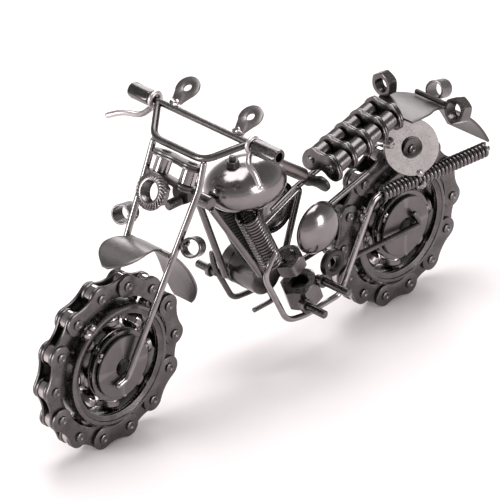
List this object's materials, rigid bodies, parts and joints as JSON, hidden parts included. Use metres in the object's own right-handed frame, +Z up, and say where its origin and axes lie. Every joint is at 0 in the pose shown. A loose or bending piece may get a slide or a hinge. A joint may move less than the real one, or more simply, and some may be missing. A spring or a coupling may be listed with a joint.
{
  "type": "model motorcycle",
  "caption": "Desk-model motorcycle welded from scrap hardware, with roller-chain tyres that spin on ball bearings, spring cylinders and a bent-rod frame.",
  "frame": {"origin": "on the ground, under the middle of the overall length, in the middle plane of the wheels", "axes": "+X forward, +Y to the rider's left, +Z up"},
  "size_m": [0.216, 0.0776, 0.1155],
  "materials": {
    "gunmetal": "satin black nickel",
    "dark": "dark burnt steel",
    "mirror": "polished black nickel",
    "satin": "satin nickel",
    "plate": "warm satin sheet"
  },
  "bodies": {
    "frame": {"front_inner_race": "gunmetal", "front_hub_washer_left": "plate", "front_hub_washer_right": "plate", "rear_inner_race": "gunmetal", "rear_hub_washer_left": "plate", "rear_hub_washer_right": "plate", "handlebar": "gunmetal", "grip_left": "gunmetal", "lever_left": "satin", "mirror_left": "plate", "fork_leg_left": "satin", "indicator_left": "gunmetal", "grip_right": "gunmetal", "lever_right": "satin", "mirror_right": "plate", "fork_leg_right": "satin", "indicator_right": "gunmetal", "headlight_nut": "satin", "neck_chain": "gunmetal", "neck_bolt": "dark", "neck_lug": "gunmetal", "front_fender": "plate", "exhaust_pipe": "satin", "exhaust_spring": "gunmetal", "frame_rail_right": "gunmetal", "rear_stay_left": "gunmetal", "down_tube_left": "gunmetal", "down_tube_right": "gunmetal", "cylinder_nut": "gunmetal", "engine_spring_left": "gunmetal", "engine_spring_right": "gunmetal", "crankcase": "mirror", "gearbox_nut": "gunmetal", "peg_front_left": "gunmetal", "peg_rear_left": "gunmetal", "peg_right": "gunmetal", "foot_rod": "gunmetal", "side_dome_left": "mirror", "seat_rail_left": "dark", "side_dome_right": "mirror", "seat_rail_right": "dark", "side_ring": "gunmetal", "tank": "mirror", "tank_cap": "gunmetal", "backbone": "satin", "seat_struts": "gunmetal", "seat_chain": "gunmetal", "seat_nose": "dark", "side_washer": "satin", "rear_fender": "plate", "ring_nut": "gunmetal", "tail_bracket": "dark", "tail_tube": "gunmetal", "tail_nut": "gunmetal"},
    "front_wheel": {"front_chain_tyre": "gunmetal", "front_outer_race": "gunmetal"},
    "front_balls": {"front_ball_set": "mirror"},
    "rear_wheel": {"rear_chain_tyre": "gunmetal", "rear_outer_race": "gunmetal"},
    "rear_balls": {"rear_ball_set": "mirror"}
  },
  "joints": [
    {"name": "front_wheel_spin", "type": "hinge", "parent": "frame", "child": "front_wheel", "pos_m": [0.0751, 0, 0.03207], "axis": [0, 1, 0], "continuous": true},
    {"name": "front_balls_orbit", "type": "hinge", "parent": "frame", "child": "front_balls", "pos_m": [0.0751, 0, 0.03207], "axis": [0, 1, 0], "continuous": true},
    {"name": "rear_wheel_spin", "type": "hinge", "parent": "frame", "child": "rear_wheel", "pos_m": [-0.067, 0, 0.03207], "axis": [0, 1, 0], "continuous": true},
    {"name": "rear_balls_orbit", "type": "hinge", "parent": "frame", "child": "rear_balls", "pos_m": [-0.067, 0, 0.03207], "axis": [0, 1, 0], "continuous": true}
  ],
  "couplings": [
    {"joint": "front_balls_orbit", "follows": "front_wheel_spin", "ratio": 0.614},
    {"joint": "rear_balls_orbit", "follows": "rear_wheel_spin", "ratio": 0.614}
  ]
}
